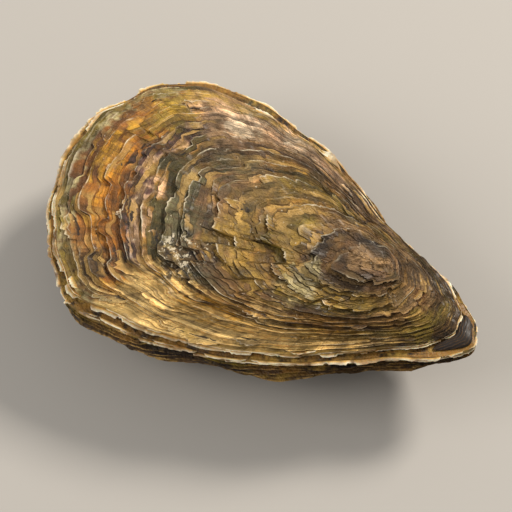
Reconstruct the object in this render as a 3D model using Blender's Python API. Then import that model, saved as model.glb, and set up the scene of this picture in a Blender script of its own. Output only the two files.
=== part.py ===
"""One whole, unopened cupped oyster, lying on its deep valve with the flat valve up.

Two solid valves meet at a wavy seam. Each valve starts as a sphere whose poles become the
valve's two growth centres and whose rings become its growth lines, from the umbo to the rim.
X runs along the shell, with the hinge at +X and the bill at -X. Units are metres.
"""

import math

import bmesh
import bpy

# Driving dimensions of the closed shell.
SHELL_LENGTH = 0.0900
SHELL_WIDTH = 0.0532
CUP_DEPTH = 0.0185
LID_HEIGHT = 0.0062
SEAM_GAP = 0.0003

# Outline: an egg, narrowed and swept sideways towards the hinge, then swollen or pinched
# at these places. Each has its direction in degrees, its height as a share, and its spread.
HINGE_TAPER = 0.40
HINGE_SWEEP = 0.0094
OUTLINE_BUMPS = {
    "bill_corner": (241, 0.055, 0.16),
    "flat_bill": (203, -0.045, 0.40),
    "back_shoulder": (138, 0.050, 0.35),
    "back_waist": (62, -0.090, 0.35),
    "front_waist": (325, -0.050, 0.30),
}

# Rim: the thickness of the flat valve's edge, and the lip and beak of the deep one beyond it.
LID_EDGE = 0.0011
CUP_EDGE = 0.0013
LIP_REACH = 0.0014
BEAK_REACH = 0.0034
SEAM_WAVE = 0.0011
SEAM_TWIST = 0.0016

# Growth centres, on the unit disc that the egg outline is squeezed into.
LID_CENTRE = (0.62, 0.25)
CUP_CENTRE = (0.82, 0.10)
YOUNG_WIDENING = 0.95

# Growth lines: where each major lamella ends, from the umbo (0) to the rim (1), and its step.
LID_EDGES = (0.13, 0.22, 0.36, 0.50, 0.60, 0.66, 0.73, 0.79, 0.86, 0.92, 0.965, 1.0)
LID_STEPS = (
    0.0013, 0.0010, 0.0008, 0.0009, 0.0008, 0.0012, 0.0008, 0.0011, 0.0007, 0.0007, 0.0005, 0.0002,
)
CUP_EDGES = (0.10, 0.19, 0.28, 0.37, 0.46, 0.55, 0.64, 0.72, 0.80, 0.88, 0.95, 1.0)
CUP_STEPS = (
    0.0008, 0.0009, 0.0010, 0.0011, 0.0012, 0.0013, 0.0014, 0.0016, 0.0015, 0.0016, 0.0012, 0.0004,
)
LINE_WANDER = 0.24
FULL_STEP_SPACING = 0.0034
LEAST_STEP_SHARE = 0.30

# Waves round the shell: the cosines that each is a sum of, and what brings the sum to about 1.
GOLDEN_ANGLE = 2.399963
RIPPLE_ORDERS = (2, 3, 5, 8, 13)
RIPPLE_SPAN = 1.9

# The umbo knob on the flat valve, then the folds of the deep one, how far its relief dies down
# at the rim so that the lip stays its widest line, and the flat spot that it rests on.
KNOB_HEIGHT = 0.0015
KNOB_REACH = 0.24
FOLD_COUNT = 10
FOLD_HEIGHT = 0.0014
RIM_CALM = 0.55
REST_SHARE = 0.965

# Mesh: columns round the shell and rings along each lamella.
COLUMNS = 96
RING_STOPS = (0.16, 1.0)
SEAM_STOPS = (0.94, 0.80, 0.50)


def smooth(low, high, value):
    """0 below low, 1 above high, and a smooth ramp between them."""
    share = min(max((value - low) / (high - low), 0.0), 1.0)
    return share * share * (3 - 2 * share)


def bump(angle, centre, spread):
    """A round bump on a circle of angles, 1 at its centre."""
    apart = (angle - centre + math.pi) % (2 * math.pi) - math.pi
    return math.exp(-((apart / spread) ** 2))


def ripple(angle, key):
    """An uneven wave round the shell, from about -1 to 1, turned by the golden angle for each key."""
    turned = angle + GOLDEN_ANGLE * (key + 1)
    total = sum(math.cos(order * turned) / order**0.6 for order in RIPPLE_ORDERS)
    return total / RIPPLE_SPAN


def outline(angle):
    """How far the rim stands from the plain egg, as a factor: its corner, its dent and its nicks."""
    bumps = sum(
        height * bump(angle, math.radians(degrees), spread)
        for degrees, height, spread in OUTLINE_BUMPS.values()
    )
    nicks = 0.008 * ripple(angle, 4) + 0.006 * math.cos(19 * angle + 1.0)
    return 1.0 + bumps + nicks


def grown(centre, growth, angle):
    """The point of the unit disc on a growth line about the umbo, which reaches the rim at 1.

    A young shell is rounder than an old one, so the first lines are widened across the shell.
    """
    widening = 1 + YOUNG_WIDENING * (1 - growth) ** 2
    lengthwise = centre[0] + growth * (math.cos(angle) - centre[0])
    crosswise = centre[1] + growth * widening * (math.sin(angle) - centre[1])
    return lengthwise, crosswise


def plan(point, lip=0.0, beak=0.0):
    """Where a point of the unit disc lies on the shell seen from above."""
    angle = math.atan2(point[1], point[0])
    factor = outline(angle)
    lengthwise, crosswise = point[0] * factor, point[1] * factor
    beak_share = bump(angle, 0.0, 0.5) * smooth(0.5, 1.0, lengthwise)
    half_length = SHELL_LENGTH / 2 + lip + beak * beak_share
    half_width = (SHELL_WIDTH / 2 + lip) * (1 - HINGE_TAPER * lengthwise)
    sweep = HINGE_SWEEP * (max(lengthwise + 1, 0.0) / 2) ** 3
    return lengthwise * half_length, crosswise * half_width + sweep


def seam_height(point):
    """The wavy surface where the valves meet, level in the middle and waved at the rim."""
    angle = math.atan2(point[1], point[0])
    radius = math.hypot(*point)
    wave = SEAM_WAVE * ripple(angle, 2) * radius**4
    return wave + SEAM_TWIST * point[0] * point[1]


def lid_height(point):
    """The flat valve above the seam: a low dome with a knob at the umbo."""
    radius = min(math.hypot(*point), 1.0)
    dome = LID_HEIGHT * (1 - radius**2.2) ** 1.05
    apart = math.hypot(point[0] - LID_CENTRE[0], 0.7 * (point[1] - LID_CENTRE[1]))
    knob = KNOB_HEIGHT * math.exp(-((apart / KNOB_REACH) ** 4))
    return LID_EDGE + dome + knob


def cup_depth(point):
    """The deep valve below the seam: steep walls, a broad floor, shallower at the hinge."""
    radius = min(math.hypot(*point), 1.0)
    return CUP_EDGE + CUP_DEPTH * (1 - radius**2.8) ** 0.72 * (1 - 0.10 * point[0])


def growth_line(edges, lamella, share, angle):
    """Growth at this share of a lamella's width; its free edge wanders, but never at the rim."""
    before = edges[lamella - 1] if lamella else 0.0
    width = edges[lamella] - before
    wander_before = LINE_WANDER * width * ripple(angle, lamella - 1) if lamella else 0.0
    wander_here = LINE_WANDER * width * ripple(angle, lamella)
    if lamella == len(edges) - 1:
        wander_here = 0.0
    return before + wander_before + share * (width + wander_here - wander_before)


def lamella_relief(centre, edges, steps, lamella, share, angle):
    """Height of one shingle above its foot: it rises towards its free edge.

    It is taller in some places than in others, and lower where the growth lines crowd together.
    """
    width = edges[lamella] - (edges[lamella - 1] if lamella else 0.0)
    rim_distance = math.hypot(math.cos(angle) - centre[0], math.sin(angle) - centre[1])
    spacing = width * rim_distance * SHELL_LENGTH / 2
    room = min(max(spacing / FULL_STEP_SPACING, LEAST_STEP_SHARE), 1.0)
    unevenness = 0.80 + 0.35 * ripple(angle + 0.6, lamella + 9)
    return steps[lamella] * room * unevenness * share**1.5


def fold_relief(growth, angle):
    """The rounded ribs that fan out from the deep valve's umbo and fade towards it."""
    phase = FOLD_COUNT * angle + 0.9 * math.sin(2 * angle + 0.7)
    strength = 0.6 + 0.4 * math.cos(angle - math.pi)
    return FOLD_HEIGHT * strength * smooth(0.15, 0.70, growth) * math.cos(phase)


def lid_rings():
    """The flat valve's rings from its top pole down: outside lamellae, then the seam face."""
    rings = [("outside", lamella, share) for lamella in range(len(LID_EDGES)) for share in RING_STOPS]
    rings.append(("seam", 0, 1.0))
    rings += [("seam", 0, stop) for stop in SEAM_STOPS]
    return rings


def cup_rings():
    """The deep valve's rings from its top pole down: the seam face, its lip, then the outside."""
    rings = [("seam", 0, stop) for stop in reversed(SEAM_STOPS)]
    rings.append(("seam", 0, 1.0))
    rings.append(("lip", 0, 1.0))
    outside = [("outside", lamella, share) for lamella in range(len(CUP_EDGES)) for share in RING_STOPS]
    return rings + outside[::-1]


def seam_point(growth, angle, side):
    """A point of the face that touches the other valve; side is +1 for the flat valve."""
    disc = grown(LID_CENTRE, growth, angle)
    x, y = plan(disc)
    return x, y, seam_height(disc) + side * SEAM_GAP / 2


def lid_base(ring, angle):
    """The flat valve's smooth form at a ring, before its relief."""
    kind, lamella, share = ring
    if kind == "seam":
        return seam_point(share, angle, 1)
    disc = grown(LID_CENTRE, growth_line(LID_EDGES, lamella, share, angle), angle)
    x, y = plan(disc)
    return x, y, seam_height(disc) + SEAM_GAP / 2 + lid_height(disc)


def cup_base(ring, angle):
    """The deep valve's smooth form at a ring, before its relief."""
    kind, lamella, share = ring
    if kind == "seam":
        return seam_point(share, angle, -1)
    if kind == "lip":
        disc = grown(LID_CENTRE, 1.0, angle)
        x, y = plan(disc, LIP_REACH, BEAK_REACH)
        return x, y, seam_height(disc) - SEAM_GAP / 2
    growth = growth_line(CUP_EDGES, lamella, share, angle)
    disc = grown(CUP_CENTRE, math.sin(growth * math.pi / 2), angle)
    x, y = plan(disc, LIP_REACH, BEAK_REACH)
    return x, y, seam_height(disc) - SEAM_GAP / 2 - cup_depth(disc)


def lid_relief(ring, angle):
    """Relief of the flat valve along its normals."""
    kind, lamella, share = ring
    if kind != "outside":
        return 0.0
    return lamella_relief(LID_CENTRE, LID_EDGES, LID_STEPS, lamella, share, angle)


def cup_relief(ring, angle):
    """Relief of the deep valve along its normals: shingles on the folds."""
    kind, lamella, share = ring
    if kind != "outside":
        return 0.0
    growth = growth_line(CUP_EDGES, lamella, share, angle)
    shingle = lamella_relief(CUP_CENTRE, CUP_EDGES, CUP_STEPS, lamella, share, angle)
    calm = 1 - RIM_CALM * smooth(0.75, 1.0, growth)
    return calm * (shingle + fold_relief(growth, angle))


def pole_point(base, ring, angle):
    """The pole of a sphere stands on the growth centre that its nearest ring closes round."""
    kind = ring[0]
    return base((kind, 0, 0.0), angle)


def shape_valve(mesh, rings, base, relief):
    """Moves the sphere's vertices to the valve: each latitude is a ring, each meridian a direction."""
    shaped = bmesh.new()
    bmesh.ops.create_uvsphere(shaped, u_segments=COLUMNS, v_segments=len(rings) + 1, radius=1.0)
    places = {}
    for vertex in shaped.verts:
        latitude = math.acos(max(-1.0, min(1.0, vertex.co.z))) / math.pi * (len(rings) + 1)
        places[vertex.index] = (round(latitude), math.atan2(vertex.co.y, vertex.co.x))
    for vertex in shaped.verts:
        row, angle = places[vertex.index]
        if row == 0:
            vertex.co = pole_point(base, rings[0], angle)
        elif row > len(rings):
            vertex.co = pole_point(base, rings[-1], angle)
        else:
            vertex.co = base(rings[row - 1], angle)
    shaped.normal_update()
    heights = {}
    for vertex in shaped.verts:
        row, angle = places[vertex.index]
        heights[vertex.index] = relief(rings[row - 1], angle) if 0 < row <= len(rings) else 0.0
    for vertex in shaped.verts:
        vertex.co += vertex.normal * heights[vertex.index]
    shaped.to_mesh(mesh)
    shaped.free()


def flatten_rest(mesh, floor):
    """Presses everything below the floor level up to it, so that the shell rests on a flat spot."""
    for vertex in mesh.vertices:
        vertex.co.z = max(vertex.co.z, floor)


def shell_material(name, colour, roughness):
    """A plain chalky shell finish."""
    material = bpy.data.materials.new(name)
    material.use_nodes = True
    shader = material.node_tree.nodes["Principled BSDF"]
    shader.inputs["Base Color"].default_value = (*colour, 1.0)
    shader.inputs["Roughness"].default_value = roughness
    shader.inputs["Metallic"].default_value = 0.0
    return material


def add_valve(name, collection, rings, base, relief, material):
    """One valve as a named object in the collection."""
    mesh = bpy.data.meshes.new(name)
    shape_valve(mesh, rings, base, relief)
    mesh.materials.append(material)
    valve = bpy.data.objects.new(name, mesh)
    collection.objects.link(valve)
    return valve


def main():
    for leftover in list(bpy.data.objects):
        bpy.data.objects.remove(leftover, do_unlink=True)
    oyster = bpy.data.collections.new("whole_oyster")
    bpy.context.scene.collection.children.link(oyster)

    lid_finish = shell_material("flat_valve_shell", (0.27, 0.18, 0.08), 0.55)
    cup_finish = shell_material("deep_valve_shell", (0.20, 0.15, 0.11), 0.60)
    lid = add_valve("upper_valve", oyster, lid_rings(), lid_base, lid_relief, lid_finish)
    cup = add_valve("lower_valve", oyster, cup_rings(), cup_base, cup_relief, cup_finish)

    floor = -CUP_DEPTH * REST_SHARE - CUP_EDGE
    flatten_rest(cup.data, floor)
    for valve in (lid, cup):
        valve.location.z = -floor
        valve.data.shade_smooth()


main()
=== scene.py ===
# %% [markdown]
# # A whole oyster in its shell
# The object is one unopened cupped oyster, lying on its deep valve with the flat valve up. The
# imported model gives its size, its place and its two valves as plain solids. This notebook grows
# the fine shell over them: many thin leaves, chipped edges, colour bands and a damp gloss. We
# load the solids first, and keep their box, whose middle the camera aims at.

# %% Load the imported model
import math

import bpy
import numpy as np
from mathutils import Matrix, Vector


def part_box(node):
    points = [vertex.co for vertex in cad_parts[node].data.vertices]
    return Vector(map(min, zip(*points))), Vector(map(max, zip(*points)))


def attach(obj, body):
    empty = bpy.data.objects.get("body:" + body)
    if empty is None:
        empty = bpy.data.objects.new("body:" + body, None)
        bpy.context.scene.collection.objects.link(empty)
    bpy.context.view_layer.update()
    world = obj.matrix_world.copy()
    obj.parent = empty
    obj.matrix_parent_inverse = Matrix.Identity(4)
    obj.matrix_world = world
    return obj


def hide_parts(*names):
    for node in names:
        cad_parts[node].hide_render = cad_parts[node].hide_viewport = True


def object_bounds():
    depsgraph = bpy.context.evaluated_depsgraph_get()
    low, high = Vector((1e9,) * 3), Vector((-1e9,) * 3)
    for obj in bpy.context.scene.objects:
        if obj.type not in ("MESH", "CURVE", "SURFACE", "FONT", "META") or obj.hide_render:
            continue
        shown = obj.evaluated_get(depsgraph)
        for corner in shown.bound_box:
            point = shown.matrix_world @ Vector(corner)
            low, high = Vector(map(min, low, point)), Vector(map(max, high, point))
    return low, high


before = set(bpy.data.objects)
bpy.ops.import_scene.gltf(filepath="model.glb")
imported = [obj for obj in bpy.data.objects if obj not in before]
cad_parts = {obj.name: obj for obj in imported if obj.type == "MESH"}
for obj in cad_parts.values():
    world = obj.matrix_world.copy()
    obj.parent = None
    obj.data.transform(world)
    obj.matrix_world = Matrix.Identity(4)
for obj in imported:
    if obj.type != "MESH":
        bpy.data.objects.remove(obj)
solid_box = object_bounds()
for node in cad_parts:
    low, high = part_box(node)
    print(node, "is", [round(1000 * side, 1) for side in high - low], "mm")

# %% [markdown]
# # The form of the shell
# An oyster grows by adding thin leaves round its edge, so every old edge is still there as a
# growth line. That gives two parameters for the whole shell: the growth, from 0 at the umbo to
# 1 at the rim, and the bearing round it. The sizes below are those of the solids, in metres.

# %% Sizes of the closed shell
MM = 0.001
SHELL_LENGTH = 0.0900
SHELL_WIDTH = 0.0532
CUP_DEPTH = 0.0185
LID_HEIGHT = 0.0062
LID_EDGE = 0.0011
CUP_EDGE = 0.0013
SEAM_GAP = 0.0003
SEAM_WAVE = 0.0011
SEAM_TWIST = 0.0016
LIP_REACH = 0.0014
BEAK_REACH = 0.0034
RESTING_SHARE = 0.965
FLOOR_LIFT = RESTING_SHARE * CUP_DEPTH + CUP_EDGE
print("the seam lies", round(FLOOR_LIFT / MM, 1), "mm above the floor")

# %% [markdown]
# ## Waves round the shell
# Nothing on a shell is even, so each edge, step and band gets its own wave. Random numbers for
# each point would look like noise. A sum of a few cosines closes on itself round the shell, and
# a key turns it by the golden angle, so no two growth lines peak together. Grain is the same
# idea in space, for lumps and grit.

# %% Waves, bumps and ramps
GOLDEN_ANGLE = 2.399963
WAVE_ORDERS = (2, 3, 5, 8, 13)
WAVE_FADE = 0.6
WAVE_SPAN = 1.9


def smooth(low, high, value):
    """0 below low, 1 above high, and a smooth ramp between them."""
    share = np.clip((value - low) / (high - low), 0.0, 1.0)
    return share * share * (3 - 2 * share)


def unit(vectors):
    """These vectors, each divided by its length."""
    return vectors / np.linalg.norm(vectors, axis=-1, keepdims=True)


def turn_from(centre, angle):
    """The turn from a centre to an angle, in radians from -pi to pi."""
    return (angle - centre + math.pi) % (2 * math.pi) - math.pi


def bump(angle, centre, spread):
    """A round bump on a circle of angles: the exponential of minus (turn / spread) squared."""
    return np.exp(-((turn_from(centre, angle) / spread) ** 2))


def ripple(angle, key):
    """An uneven wave, about -1 to 1: a sum of cosines, turned by the golden angle for each key."""
    turned = angle + GOLDEN_ANGLE * (key + 1)
    return sum(np.cos(order * turned) / order**WAVE_FADE for order in WAVE_ORDERS) / WAVE_SPAN


def grain(points, size, seed, count=24):
    """Soft relief, about -1 to 1: plane waves about that long, in all directions, added up."""
    draw = np.random.default_rng(seed)
    directions = unit(draw.normal(size=(count, 3)))
    lengths = size * draw.uniform(0.7, 1.5, count)
    phases = draw.uniform(0, 2 * math.pi, count)
    total = sum(
        np.cos(points @ direction * (2 * math.pi / length) + phase)
        for direction, length, phase in zip(directions, lengths, phases)
    )
    return total / math.sqrt(2 * count)


print("a broad wave at the hinge and the bill:", ripple(np.array([0.0, math.pi]), 0).round(2))

# %% [markdown]
# ## Broken edges
# Shell breaks like slate: a broken edge runs straight for a millimetre or two, turns a corner,
# and in places a whole piece is missing. Cosines are too soft for that. So one function joins
# random heights with straight lines, and another cuts dips with steep sides.

# %% Jagged lines and notches
NOTCH_WIDTHS = (0.3, 1.6)
NOTCH_DEPTHS = (0.25, 1.0)
NOTCH_SLOPE = 0.3


def broken(angle, seed, count, height):
    """A jagged line round the shell: random heights at random bearings, joined straight."""
    draw = np.random.default_rng(seed)
    places = draw.uniform(0, 2 * math.pi, count)
    return height * np.interp(angle, places, draw.uniform(-1, 1, count), period=2 * math.pi)


def notches(angle, seed, count, width, depth=1.0):
    """Missing pieces round an edge, 0 to the depth: the deepest of some dips with steep sides."""
    draw = np.random.default_rng(seed)
    centres = draw.uniform(0, 2 * math.pi, (count, 1))
    halves = width * draw.uniform(*NOTCH_WIDTHS, (count, 1))
    depths = draw.uniform(*NOTCH_DEPTHS, (count, 1))
    apart = np.abs(turn_from(centres, angle))
    return depth * (depths * smooth(0.0, NOTCH_SLOPE, 1 - apart / halves)).max(axis=0)


gone = notches(np.linspace(0, 2 * math.pi, 400), 1, 7, 0.12)
print("notches take away", round(float(gone.mean()), 2), "of an edge on average")

# %% [markdown]
# ## Growth lines on a unit disc
# A whole valve is first thought of as a round disc. Each growth line is the rim, shrunk towards
# the umbo, and the young shell was rounder. A drawn curve would give the rim alone, but this
# gives every line inside it too.

# %% Growth lines
LID_CENTRE = (0.62, 0.25)
CUP_CENTRE = (0.82, 0.10)
YOUNG_WIDENING = 0.95


def grown(centre, growth, angle):
    """A growth line on the unit disc: the rim, shrunk by the growth towards the umbo."""
    widening = 1 + YOUNG_WIDENING * (1 - growth) ** 2
    lengthwise = centre[0] + growth * (np.cos(angle) - centre[0])
    crosswise = centre[1] + growth * widening * (np.sin(angle) - centre[1])
    return lengthwise, crosswise


print("the flat valve's umbo is at", LID_CENTRE, "of the half length and half width")

# %% [markdown]
# ## The outline, and points in space
# The disc then becomes the real outline: an egg, narrowed and swept sideways towards the hinge,
# with a corner, a flat, a shoulder and two waists. Height is added from the wavy seam, so both
# valves meet along the same surface.

# %% Outline, seam and points
HINGE_TAPER = 0.40
HINGE_SWEEP = 0.0094
LIP_WANDER = 0.50
BEAK_SPREAD = 0.5
OUTLINE_WANDER = 0.008
OUTLINE_NICKS = {"height": 0.006, "count": 19, "turn": 1.0}
# Bearing in degrees, height and spread.
OUTLINE_BUMPS = {
    "bill_corner": (241, 0.055, 0.16),
    "flat_bill": (203, -0.045, 0.40),
    "back_shoulder": (138, 0.050, 0.35),
    "back_waist": (62, -0.090, 0.35),
    "front_waist": (325, -0.050, 0.30),
}


def outline(angle):
    """How far the rim stands from the plain egg, as a factor: bumps and small nicks."""
    bumps = sum(
        height * bump(angle, math.radians(degrees), spread)
        for degrees, height, spread in OUTLINE_BUMPS.values()
    )
    nicks = OUTLINE_NICKS["height"] * np.cos(OUTLINE_NICKS["count"] * angle + OUTLINE_NICKS["turn"])
    return 1.0 + bumps + OUTLINE_WANDER * ripple(angle, 4) + nicks


def plan(disc, lip=0.0, beak=0.0):
    """Where a point of the unit disc lies, seen from above: scaled, tapered, swept, with its lip."""
    angle = np.arctan2(disc[1], disc[0])
    lip = lip * (1 + LIP_WANDER * ripple(angle, 6))
    lengthwise = disc[0] * outline(angle)
    crosswise = disc[1] * outline(angle)
    beak_share = bump(angle, 0.0, BEAK_SPREAD) * smooth(0.5, 1.0, lengthwise)
    half_length = SHELL_LENGTH / 2 + lip + beak * beak_share
    half_width = (SHELL_WIDTH / 2 + lip) * (1 - HINGE_TAPER * lengthwise)
    sweep = HINGE_SWEEP * (np.maximum(lengthwise + 1, 0.0) / 2) ** 3
    return lengthwise * half_length, crosswise * half_width + sweep


def seam_height(disc):
    """The wavy surface where the valves meet: level in the middle, rippled at the rim."""
    wave = SEAM_WAVE * ripple(np.arctan2(disc[1], disc[0]), 2) * np.hypot(*disc) ** 4
    return FLOOR_LIFT + wave + SEAM_TWIST * disc[0] * disc[1]


def placed(disc, height, lip=0.0, beak=0.0):
    """Points in space over the unit disc, at a height above the seam's surface."""
    x, y = plan(disc, lip, beak)
    return np.stack([x, y, seam_height(disc) + height], axis=-1)


# %% [markdown]
# ## The two smooth forms
# The flat valve is a low dome with a knob at the umbo. The deep valve is a bowl with steep
# walls and a broad floor. Both are functions of growth and bearing, so a normal is simply the
# slope along the growth crossed with the slope round the shell.

# %% Smooth forms and their normals
KNOB_HEIGHT = 0.0015
KNOB_REACH = 0.24
KNOB_STRETCH = 0.7
DOME_POWERS = (2.2, 1.05)
BOWL_POWERS = (2.8, 0.72)
BOWL_TILT = 0.10


def rounded(disc, inner, outer):
    """A cap over the unit disc, 1 in the middle and 0 at the rim: (1 - r^inner)^outer."""
    return (1 - np.minimum(np.hypot(*disc), 1.0) ** inner) ** outer


def flat_form(growth, angle):
    """The flat valve's outside before its relief: edge + dome of (1 - r^2.2)^1.05 + knob."""
    disc = grown(LID_CENTRE, growth, angle)
    dome = LID_HEIGHT * rounded(disc, *DOME_POWERS)
    apart = np.hypot(disc[0] - LID_CENTRE[0], KNOB_STRETCH * (disc[1] - LID_CENTRE[1]))
    knob = KNOB_HEIGHT * np.exp(-((apart / KNOB_REACH) ** 4))
    return placed(disc, SEAM_GAP / 2 + LID_EDGE + dome + knob)


def deep_form(growth, angle):
    """The deep valve's outside before its relief: edge + depth of (1 - r^2.8)^0.72."""
    disc = grown(CUP_CENTRE, np.sin(growth * math.pi / 2), angle)
    bowl = rounded(disc, *BOWL_POWERS) * (1 - BOWL_TILT * disc[0])
    return placed(disc, -SEAM_GAP / 2 - CUP_EDGE - CUP_DEPTH * bowl, LIP_REACH, BEAK_REACH)


def normals(form, growth, angle):
    """Unit normals of a form, up out of the disc: slope along the growth x slope round it."""
    step = 0.001
    inner = np.clip(growth, 10 * step, 1 - step)
    along = form(inner + step, angle) - form(inner - step, angle)
    around = form(inner, angle + step) - form(inner, angle - step)
    return unit(np.cross(along, around))


print("the flat valve's top is", round(float(flat_form(0.02, 0.0)[2]) / MM, 1), "mm above the floor")

# %% [markdown]
# ## Free edges of the leaves
# The solids have a dozen major lamellae on each valve. On the real shell each is a stack of
# thinner leaves. A leaf's free edge follows its growth line, but it wanders, it is chipped and
# frayed, and pieces are gone. The young shell near the umbo is worn smooth, so the damage fades
# out there.

# %% Free edges
LINE_WANDER = 0.24
LEAF_WANDER = 0.30
LEAF_CHIPS = {"count": 45, "height": 0.45}
LEAF_FRAY = {"count": 170, "height": 0.30}
LEAF_NOTCHES = {"count": 7, "width": 0.09, "depth": 1.4}
LAMELLA_NOTCHES = {"count": 7, "width": 0.13, "depth": 0.55}
YOUNG_CALM = (0.05, 0.32)
LEAST_SHARE = {"lamella": 0.3, "leaf": 0.12}


def leaf_lines(edges, counts, angle):
    """Growth at each leaf's free edge, (leaf + 1, column): its share of a lamella, then broken."""
    lines = [np.zeros_like(angle)]
    last = np.zeros_like(angle)
    widths = np.diff([0.0, *edges])
    for lamella, (edge, width, count) in enumerate(zip(edges, widths, counts)):
        loose = 0.0 if lamella == len(edges) - 1 else 1.0
        rough = smooth(*YOUNG_CALM, edge)
        gone = rough * notches(angle, 900 + lamella, **LAMELLA_NOTCHES)
        here = edge + loose * width * (LINE_WANDER * ripple(angle, lamella) - gone)
        here = np.maximum(here, last + LEAST_SHARE["lamella"] * width)
        spacing = (here - last) / count
        for leaf in range(1, count + 1):
            key = 30 * lamella + leaf
            wander = (leaf < count) * LEAF_WANDER * ripple(angle, key + 7)
            chips = broken(angle, key, **LEAF_CHIPS) + broken(angle, key + 500, **LEAF_FRAY)
            lost = notches(angle, key, **LEAF_NOTCHES)
            line = last + spacing * (leaf + wander + rough * (chips - lost))
            lines.append(np.clip(line, lines[-1] + LEAST_SHARE["leaf"] * spacing, 1.0))
        last = here
    return np.array(lines)


print("an edge has", LEAF_CHIPS["count"], "chips and", LEAF_NOTCHES["count"], "missing pieces")

# %% [markdown]
# ## Rings of a leaf
# Every leaf is three rings of points: its foot, tucked under the leaf before it, its crest, and
# its free edge. Some leaves are bold and some hardly show. A displacement texture could raise
# steps, but it couldn't tuck one leaf under the next.

# %% Leaf rings
FULL_STEP_SPACING = 0.0034
LEAST_STEP_SHARE = 0.30
LEAF_STOPS = (0.0, 0.86, 1.0)
TUCK = 0.45 * MM
FULL_LEAF_SPACING = 1.3 * MM
LEAST_LEAF_SHARE = 0.15
LEAF_BOLDNESS = (0.45, 1.55)
LAMELLA_RAMP = 1.5
LAMELLA_SWELL = {"mean": 0.80, "wave": 0.35}
LEAF_SWELL = {"mean": 0.60, "wave": 0.60}
YOUNGEST = 0.012


def grow_leaves(edges, counts, steps, leaf_step, centre, angle):
    """Rings of growth, relief and attributes, each (ring, column), from the umbo out. Steps in mm."""
    lines = leaf_lines(edges, counts, angle)
    reach = np.hypot(np.cos(angle) - centre[0], np.sin(angle) - centre[1]) * SHELL_LENGTH / 2
    rings = {"growth": [], "relief": [], "leaf_share": [], "leaf_step": [], "leaf": []}
    leaf = 0
    drop = np.zeros_like(angle)
    boldness = np.random.default_rng(5).uniform(*LEAF_BOLDNESS, sum(counts))
    for lamella, (count, step) in enumerate(zip(counts, steps)):
        width = edges[lamella] - (edges[lamella - 1] if lamella else 0.0)
        room = np.clip(width * reach / FULL_STEP_SPACING, LEAST_STEP_SHARE, 1.0)
        swell = LAMELLA_SWELL["mean"] + LAMELLA_SWELL["wave"] * ripple(angle + 0.6, lamella + 9)
        high = step * MM * room * swell
        for part in range(count):
            start, end = lines[leaf], lines[leaf + 1]
            leaf_room = np.clip((end - start) * reach / FULL_LEAF_SPACING, LEAST_LEAF_SHARE, 1.0)
            swell = LEAF_SWELL["mean"] + LEAF_SWELL["wave"] * ripple(angle, 50 + leaf)
            rise = leaf_step * MM * leaf_room * np.clip(swell, 0.05, 1.3) * boldness[leaf]
            tuck = TUCK * np.clip(drop / MM, 0.1, 1.0) / reach
            for stop in LEAF_STOPS:
                growth = start - tuck if stop == 0.0 else start + stop * (end - start)
                rings["growth"].append(np.maximum(growth, YOUNGEST))
                rings["relief"].append(high * ((part + stop) / count) ** LAMELLA_RAMP + rise * stop)
                rings["leaf_share"].append(np.full_like(angle, stop))
                rings["leaf"].append(np.full_like(angle, leaf + stop))
            before = drop
            drop = rise + (high if part == count - 1 else 0.0)
            rings["leaf_step"] += [before / MM, drop / MM, drop / MM]
            leaf += 1
    return {name: np.array(values) for name, values in rings.items()}


print("a leaf takes", len(LEAF_STOPS), "rings of points")

# %% [markdown]
# ## From points to a piece
# What the materials need to know about a point, such as its growth and how near a free edge it
# is, goes into the mesh as attributes. UV maps could carry two numbers each, but attributes
# have names that say what they are.

# %% Pieces with attributes
CREASE = 40


def add_object(name, data, place=(0, 0, 0), look=None):
    """A new object in the scene, at a place, turned to look along a direction if one is given."""
    thing = bpy.data.objects.new(name, data)
    thing.location = place
    if look is not None:
        thing.rotation_euler = look.to_track_quat("-Z", "Y").to_euler()
    bpy.context.scene.collection.objects.link(thing)
    return thing


def add_attributes(mesh, attributes):
    """Stores each named array on the mesh's points: three numbers as a vector, else a float."""
    for name, values in attributes.items():
        kind, field = ("FLOAT_VECTOR", "vector") if values.ndim == 2 else ("FLOAT", "value")
        layer = mesh.attributes.new(name, kind, "POINT")
        layer.data.foreach_set(field, values.astype(np.float32).ravel())


def add_piece(name, points, faces, attributes):
    """A new object at the origin, smooth shaded, with sharp edges past the crease."""
    mesh = bpy.data.meshes.new(name)
    mesh.from_pydata(points.tolist(), [], faces)
    mesh.shade_smooth()
    mesh.set_sharp_from_angle(angle=math.radians(CREASE))
    add_attributes(mesh, attributes)
    triangles = sum(len(face) - 2 for face in faces)
    size = [round(float(side) / MM, 1) for side in np.ptp(points, axis=0)]
    print(name, "has", triangles, "triangles and is", size, "mm")
    return add_object(name, mesh)


print("a crease past", CREASE, "degrees stays sharp")

# %% [markdown]
# ## Closed skins and hoops
# Each valve is one closed skin: rings of points between two poles, with quads between the
# rings and a fan at each pole. A rim leaf is a hoop, whose rings close both ways.

# %% Skins and hoops
def skin_faces(rows, columns, first=0):
    """Faces of a closed skin whose points are a pole, then rings, then a pole, counted from first."""
    here = first + 1 + np.arange(rows * columns).reshape(rows, columns)
    right = np.roll(here, -1, axis=1)
    quads = np.stack([here[:-1], here[1:], right[1:], right[:-1]], axis=-1).reshape(-1, 4)
    top = np.stack([np.full(columns, first), here[0], right[0]], axis=-1)
    bottom = np.stack([np.full(columns, first + rows * columns + 1), right[-1], here[-1]], axis=-1)
    return quads.tolist() + top.tolist() + bottom.tolist()


def with_poles(values):
    """Values (ring, column, ...) as one list, between the means of its end rings as the poles."""
    flat = values.reshape(values.shape[0] * values.shape[1], *values.shape[2:])
    return np.concatenate([values[0].mean(axis=0)[None], flat, values[-1].mean(axis=0)[None]])


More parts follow.
